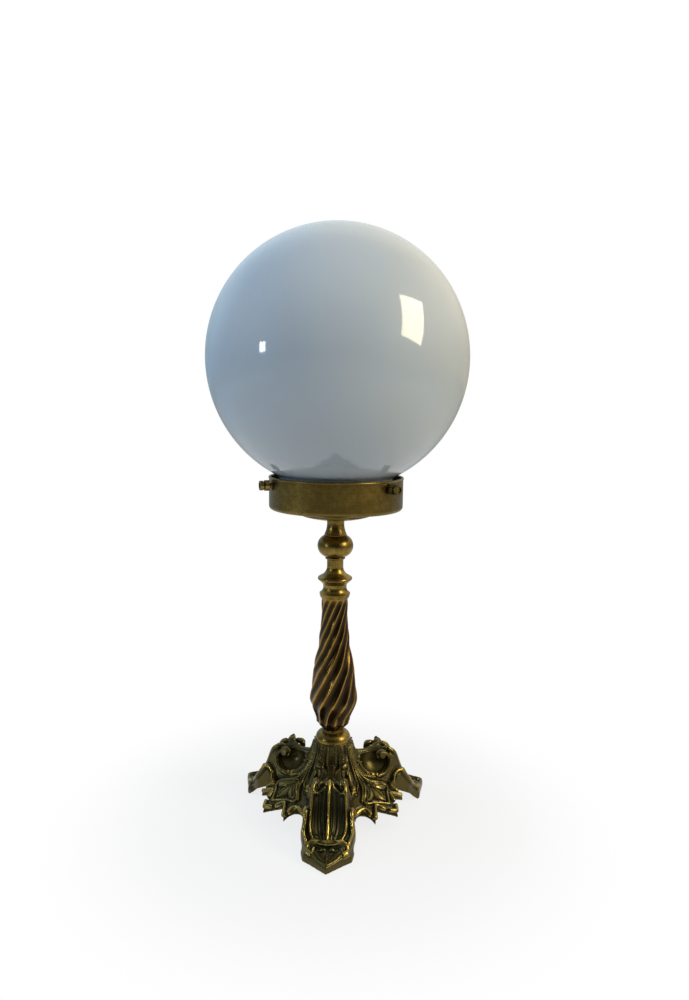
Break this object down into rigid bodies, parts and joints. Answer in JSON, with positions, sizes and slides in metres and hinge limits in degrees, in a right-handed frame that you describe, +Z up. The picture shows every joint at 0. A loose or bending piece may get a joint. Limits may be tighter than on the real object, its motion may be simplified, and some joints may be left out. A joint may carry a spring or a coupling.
{
  "type": "glass globe table lamp",
  "caption": "Table lamp with an opal glass globe in a spun brass gallery, a turned neck, a twisted baluster column and a cast footed base.",
  "frame": {"origin": "centre of the base on the surface that the lamp stands on", "axes": "+Z up along the stem; one foot of the base points along -Y, towards the viewer of the picture"},
  "size_m": [0.2012, 0.2012, 0.4668],
  "materials": {
    "cast_brass": "antique cast brass, dark green-brown in its recesses and rubbed gold on its edges",
    "steel": "zinc-plated washer",
    "brass_plain": "plain machined brass",
    "black_plastic": "black moulded plastic",
    "aged_brass": "aged turned brass, satin polished",
    "column_brass": "copper-brown patinated brass with rubbed ridges",
    "gallery_brass": "aged spun brass, satin",
    "holder_brass": "brushed brass",
    "porcelain": "white glazed porcelain",
    "opal_glass": "glossy white opal glass",
    "bulb_glass": "clear glass",
    "bulb_metal": "satin nickel-plated cap",
    "black_glass": "black vitrified glass insulator",
    "filament": "tungsten wire",
    "screw_brass": "aged brass"
  },
  "bodies": {
    "lamp": {"base_casting": "cast_brass", "base_washer": "steel", "earth_tag": "brass_plain", "base_nut": "brass_plain", "cord_bush": "black_plastic", "centre_tube": "brass_plain", "base_collar": "aged_brass", "twisted_column": "column_brass", "ferrule": "aged_brass", "disc_collar": "aged_brass", "ball_knop": "aged_brass", "gallery_saucer": "aged_brass", "gallery": "gallery_brass", "screw_nuts": "brass_plain", "gallery_washer": "brass_plain", "gallery_locknut": "brass_plain", "holder_cap": "holder_brass", "holder_shell": "holder_brass", "shade_ring": "holder_brass", "holder_core": "porcelain", "screw_shell": "brass_plain", "centre_contact": "brass_plain", "terminal_screws": "brass_plain"},
    "globe": {"globe": "opal_glass"},
    "bulb": {"bulb_glass": "bulb_glass", "bulb_cap": "bulb_metal", "bulb_insulator": "black_glass", "bulb_tip": "bulb_metal", "bulb_stem": "bulb_glass", "bulb_filament": "filament"},
    "thumb_screw_1": {"thumb_screw_1": "screw_brass"},
    "thumb_screw_2": {"thumb_screw_2": "screw_brass"},
    "thumb_screw_3": {"thumb_screw_3": "screw_brass"}
  },
  "joints": [
    {"name": "globe_lift", "type": "slide", "parent": "lamp", "child": "globe", "axis": [0, 0, 1], "range_m": [0, 0.14]},
    {"name": "bulb_unscrew", "type": "slide", "parent": "lamp", "child": "bulb", "axis": [0, 0, 1], "range_m": [0, 0.03]},
    {"name": "screw_1_travel", "type": "slide", "parent": "lamp", "child": "thumb_screw_1", "axis": [0.1444, 0.9895, 0], "range_m": [-0.0011, 0.003]},
    {"name": "screw_2_travel", "type": "slide", "parent": "lamp", "child": "thumb_screw_2", "axis": [-0.9291, -0.3697, 0], "range_m": [-0.0011, 0.003]},
    {"name": "screw_3_travel", "type": "slide", "parent": "lamp", "child": "thumb_screw_3", "axis": [0.7848, -0.6198, 0], "range_m": [-0.0011, 0.003]}
  ]
}
